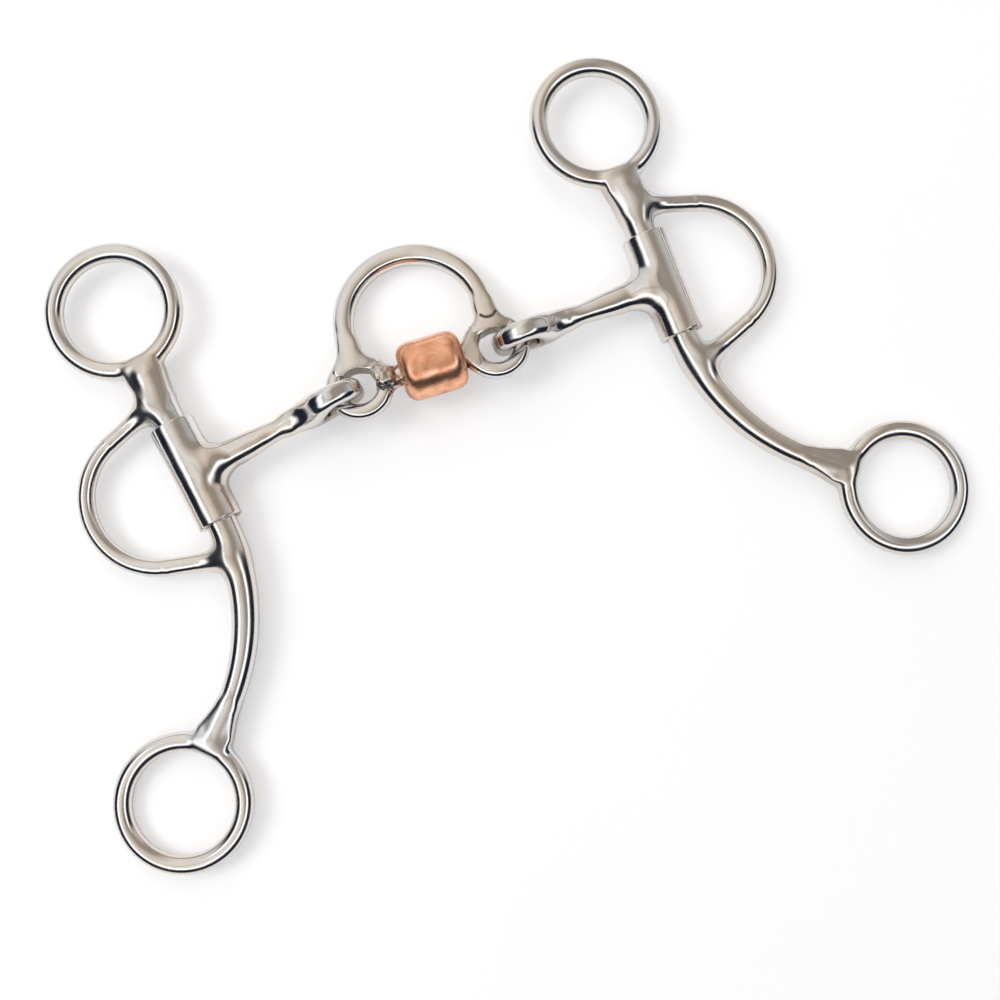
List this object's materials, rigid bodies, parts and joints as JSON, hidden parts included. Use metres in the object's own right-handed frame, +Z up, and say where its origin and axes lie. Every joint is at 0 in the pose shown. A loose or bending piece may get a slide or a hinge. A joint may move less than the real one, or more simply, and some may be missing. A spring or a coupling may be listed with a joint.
{
  "type": "snaffle bit",
  "caption": "Short-shanked leverage bit for a horse: a jointed mouthpiece with a round port and a copper roller, and cheeks with strap and rein rings that swivel in sleeves.",
  "frame": {"origin": "under the middle of the bit as it lies flat, on the table", "axes": "+X along the mouth from the left cheek to the right cheek, +Y towards the bridle rings, +Z up from the table"},
  "size_m": [0.234, 0.1554, 0.0166],
  "materials": {
    "polished_steel": "hand-polished stainless steel",
    "weld": "weld bead, brushed but not ground smooth",
    "copper": "polished copper"
  },
  "bodies": {
    "link": {"port_arch": "polished_steel", "roller_axle": "polished_steel", "axle_welds": "weld"},
    "roller": {"copper_roller": "copper"},
    "left_eye": {"left_eye_ring": "polished_steel"},
    "left_arm": {"left_cannon": "polished_steel", "left_sleeve": "polished_steel"},
    "left_cheek": {"left_cheek_bar": "polished_steel", "left_bridle_ring": "polished_steel", "left_rein_ring": "polished_steel", "left_d_ring": "polished_steel"},
    "right_eye": {"right_eye_ring": "polished_steel"},
    "right_arm": {"right_cannon": "polished_steel", "right_sleeve": "polished_steel"},
    "right_cheek": {"right_cheek_bar": "polished_steel", "right_bridle_ring": "polished_steel", "right_rein_ring": "polished_steel", "right_d_ring": "polished_steel"}
  },
  "joints": [
    {"name": "roller_spin", "type": "hinge", "parent": "link", "child": "roller", "pos_m": [-0.00265, 0.0169, 0.0077], "axis": [0.996, -0.0889, 0], "continuous": true},
    {"name": "left_arm_swing", "type": "hinge", "parent": "link", "child": "left_eye", "pos_m": [-0.02053, 0.01849, 0.0077], "axis": [0.0144, 0.161, 0.9868], "range_deg": [-55, 85]},
    {"name": "left_arm_fold", "type": "hinge", "parent": "left_eye", "child": "left_arm", "pos_m": [-0.027, 0.01794, 0.00788], "axis": [-0.0889, 0.996, 0], "range_deg": [-95, 95]},
    {"name": "left_cheek_swivel", "type": "hinge", "parent": "left_arm", "child": "left_cheek", "pos_m": [-0.06641, 0.0144, 0.00575], "axis": [-0.0889, 0.996, 0], "range_deg": [-160, 160]},
    {"name": "right_arm_swing", "type": "hinge", "parent": "link", "child": "right_eye", "pos_m": [0.01523, 0.0153, 0.0077], "axis": [0.0144, 0.161, 0.9868], "range_deg": [-85, 45]},
    {"name": "right_arm_fold", "type": "hinge", "parent": "right_eye", "child": "right_arm", "pos_m": [0.02173, 0.01516, 0.00763], "axis": [0.0192, 0.9998, 0], "range_deg": [-95, 95]},
    {"name": "right_cheek_swivel", "type": "hinge", "parent": "right_arm", "child": "right_cheek", "pos_m": [0.06128, 0.01442, 0.00575], "axis": [0.0192, 0.9998, 0], "range_deg": [-160, 160]}
  ]
}
